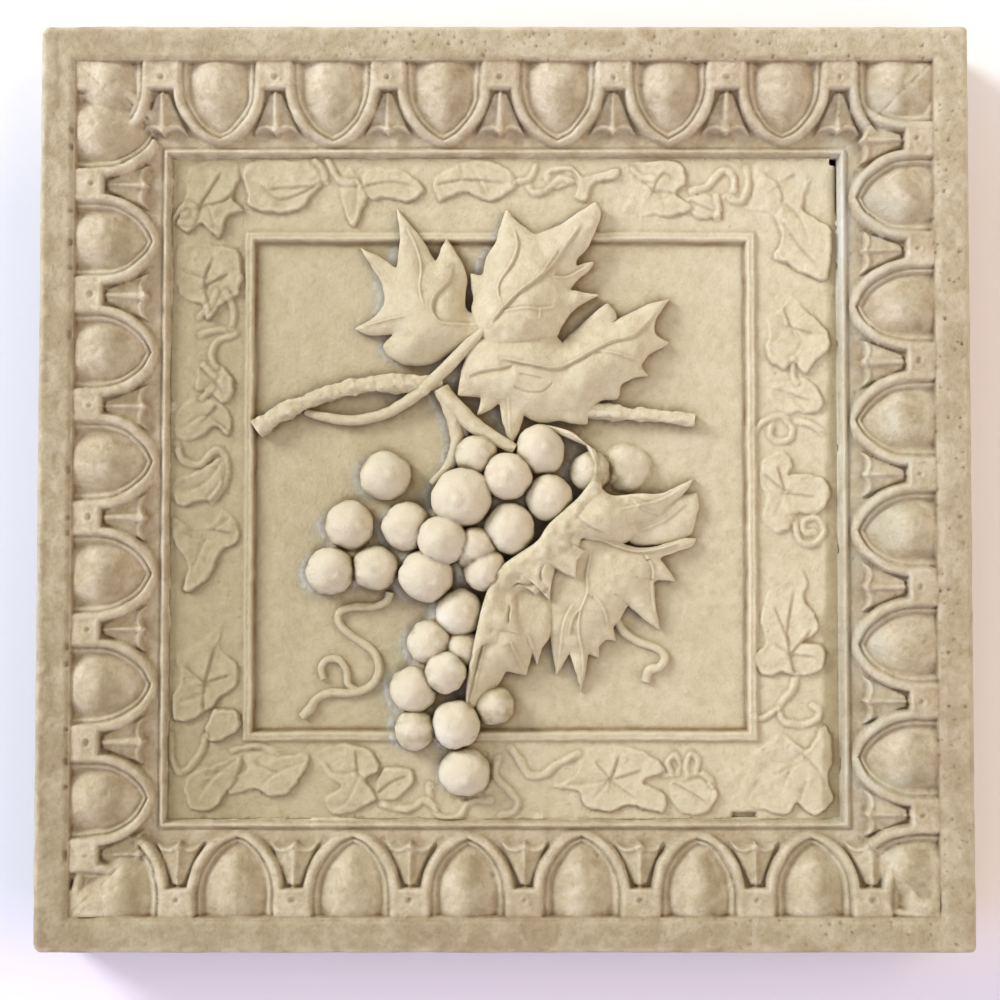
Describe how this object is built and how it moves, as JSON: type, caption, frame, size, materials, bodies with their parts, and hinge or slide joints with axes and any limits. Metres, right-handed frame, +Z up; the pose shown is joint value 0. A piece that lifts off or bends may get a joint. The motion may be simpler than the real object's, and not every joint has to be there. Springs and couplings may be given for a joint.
{
  "type": "decorative wall plaque",
  "caption": "Square cast wall plaque: egg-and-dart moulded frame around an inset relief tile with a grape cluster, vine leaves and a leafy frieze.",
  "frame": {"origin": "middle of the flat back, where the plaque lies against the wall", "axes": "+X to the right as seen from the front, +Z up, +Y into the wall; the relief faces -Y"},
  "size_m": [0.254, 0.0278, 0.252],
  "materials": {
    "frame": "matt cream-tan paint over rough cast plaster, brown wash in the hollows",
    "relief_tile": "matt cream paint over cast plaster, with thin whitish primer patches"
  },
  "bodies": {
    "root": {"frame": "frame", "relief_tile": "relief_tile"}
  },
  "joints": []
}
